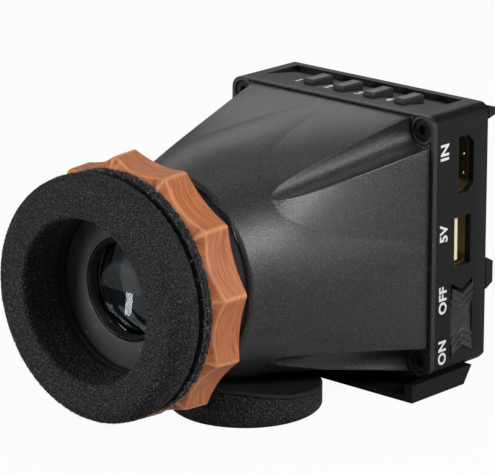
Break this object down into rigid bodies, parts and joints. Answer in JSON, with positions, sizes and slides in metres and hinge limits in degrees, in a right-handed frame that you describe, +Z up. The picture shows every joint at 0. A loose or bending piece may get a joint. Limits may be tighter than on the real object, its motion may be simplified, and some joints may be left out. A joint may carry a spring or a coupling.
{
  "type": "electronic viewfinder",
  "caption": "Loupe-style electronic viewfinder: box screen housing on a base plate, tapering hood, turning wooden focus ring and foam eyecup.",
  "frame": {"origin": "centre of the mouth of the tripod thread, in the underside of the base plate", "axes": "+Y along the optical axis from the eye towards the screen, +Z up, +X to the side that carries the sockets"},
  "size_m": [0.0698, 0.1182, 0.0757],
  "materials": {
    "hood_paint": "rough, fine speckle",
    "housing_paint": "satin",
    "black_metal": "satin black",
    "steel": "plain",
    "black_steel": "black oxide",
    "brass_insert": "plain",
    "gold_plate": "bright",
    "maple_wood": "oiled, soft edges",
    "foam": "open cell foam",
    "loop_fabric": "loop pile",
    "hook_fabric": "hook tape",
    "plate_plastic": "smooth",
    "button_plastic": "smooth",
    "cream_plastic": "plain",
    "black_plastic": "plain",
    "optic": "clear",
    "screen_glass": "dark",
    "screen_body": "plain",
    "board": "green",
    "flex": "amber"
  },
  "bodies": {
    "housing": {"hood_body": "hood_paint", "hood_screws": "black_steel", "neck_sleeve": "black_metal", "front_frame": "hood_paint", "screen_housing": "housing_paint", "corner_screws": "black_steel", "rear_cover": "housing_paint", "lower_rail": "black_metal", "upper_rail": "black_metal", "rail_screws": "black_steel", "base_plate": "housing_paint", "base_screws": "black_steel", "thread_insert": "brass_insert", "display_mask": "black_plastic", "display_glass": "screen_glass", "display_module": "screen_body", "display_clamps": "steel", "clamp_screws": "steel", "display_flex": "flex", "main_board": "board", "board_posts": "brass_insert", "board_screws": "steel", "board_chips": "black_plastic", "video_socket": "gold_plate", "video_contacts": "black_plastic", "power_socket": "gold_plate", "power_tongue": "cream_plastic", "switch_body": "black_plastic", "button_board": "board", "button_switches": "black_plastic", "button_board_screws": "steel"},
    "focus_ring": {"focus_ring": "maple_wood", "ring_insert": "black_metal", "hook_ring": "hook_fabric"},
    "lens_cell": {"lens_cell": "black_metal", "guide_keys": "steel", "eye_plate": "plate_plastic", "eye_bezel": "plate_plastic", "eye_lens": "optic", "spacer_tube": "black_metal", "field_lens": "optic", "field_ring": "black_metal"},
    "eyecup": {"loop_ring": "loop_fabric", "foam_eyecup": "foam"},
    "power_slider": {"switch_slider": "button_plastic"},
    "button_1": {"button_1": "button_plastic"},
    "button_2": {"button_2": "button_plastic"},
    "button_3": {"button_3": "button_plastic"},
    "button_4": {"button_4": "button_plastic"},
    "rest_pad": {"rest_pad": "foam", "rest_pad_loop": "loop_fabric"}
  },
  "joints": [
    {"name": "focus_turn", "type": "hinge", "parent": "housing", "child": "focus_ring", "pos_m": [0, -0.08, 0.0396], "axis": [0, 1, 0], "range_deg": [0, 270]},
    {"name": "focus_slide", "type": "slide", "parent": "housing", "child": "lens_cell", "axis": [0, 1, 0], "range_m": [0, 0.005]},
    {"name": "eyecup_pull", "type": "slide", "parent": "focus_ring", "child": "eyecup", "axis": [0, -1, 0], "range_m": [0, 0.012]},
    {"name": "power_slide", "type": "slide", "parent": "housing", "child": "power_slider", "axis": [0, 0, 1], "range_m": [0, 0.0012]},
    {"name": "button_1_press", "type": "slide", "parent": "housing", "child": "button_1", "axis": [0, 0, -1], "range_m": [0, 0.0006], "stiffness_N_per_m": 400, "springref_m": -0.0003},
    {"name": "button_2_press", "type": "slide", "parent": "housing", "child": "button_2", "axis": [0, 0, -1], "range_m": [0, 0.0006], "stiffness_N_per_m": 400, "springref_m": -0.0003},
    {"name": "button_3_press", "type": "slide", "parent": "housing", "child": "button_3", "axis": [0, 0, -1], "range_m": [0, 0.0006], "stiffness_N_per_m": 400, "springref_m": -0.0003},
    {"name": "button_4_press", "type": "slide", "parent": "housing", "child": "button_4", "axis": [0, 0, -1], "range_m": [0, 0.0006], "stiffness_N_per_m": 400, "springref_m": -0.0003},
    {"name": "rest_pad_slide", "type": "slide", "parent": "housing", "child": "rest_pad", "axis": [-1, 0, 0], "range_m": [0, 0.06]}
  ],
  "couplings": [
    {"joint": "focus_slide", "follows": "focus_turn", "m_per_rad": 0.00106}
  ]
}
